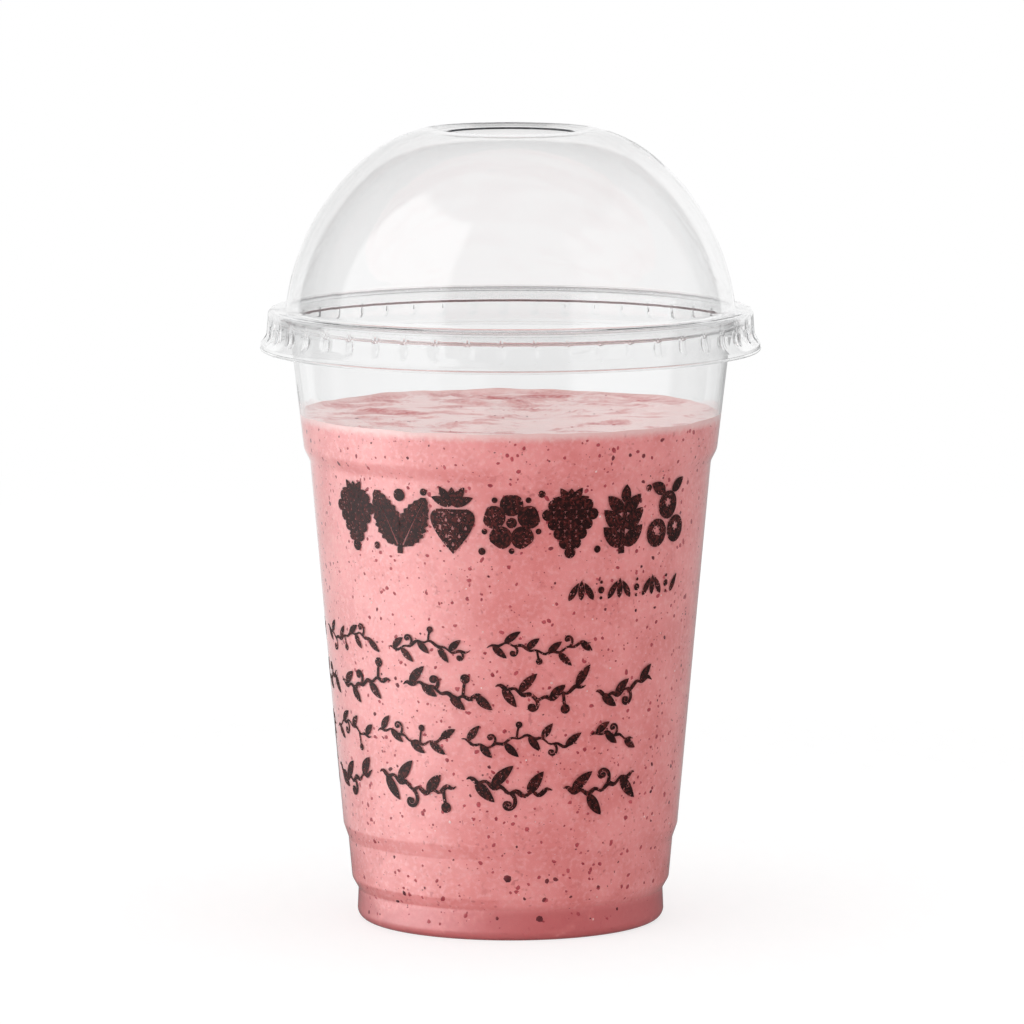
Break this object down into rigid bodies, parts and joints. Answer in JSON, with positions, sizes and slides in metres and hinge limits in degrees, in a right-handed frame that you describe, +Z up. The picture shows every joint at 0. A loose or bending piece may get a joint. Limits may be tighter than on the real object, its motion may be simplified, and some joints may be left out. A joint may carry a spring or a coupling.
{
  "type": "berry smoothie",
  "caption": "Thick pink berry drink in a clear tapered plastic tumbler with a rolled rim, under a clear domed lid with a round straw hole.",
  "frame": {"origin": "centre of the tumbler's base, on the plane that it stands on", "axes": "+Z up along the tumbler's axis; +Y away from the side that carries the print, so the print faces -Y"},
  "size_m": [0.102, 0.102, 0.162],
  "materials": {
    "clear_plastic": "clear, thin, high gloss",
    "smoothie": "blended pink fruit pulp, softly wet",
    "berry_seed": "dark specks of seed and skin",
    "print_ink": "dark brown screen print, satin"
  },
  "bodies": {
    "root": {"cup": "clear_plastic", "lid": "clear_plastic", "smoothie": "smoothie"}
  },
  "joints": []
}
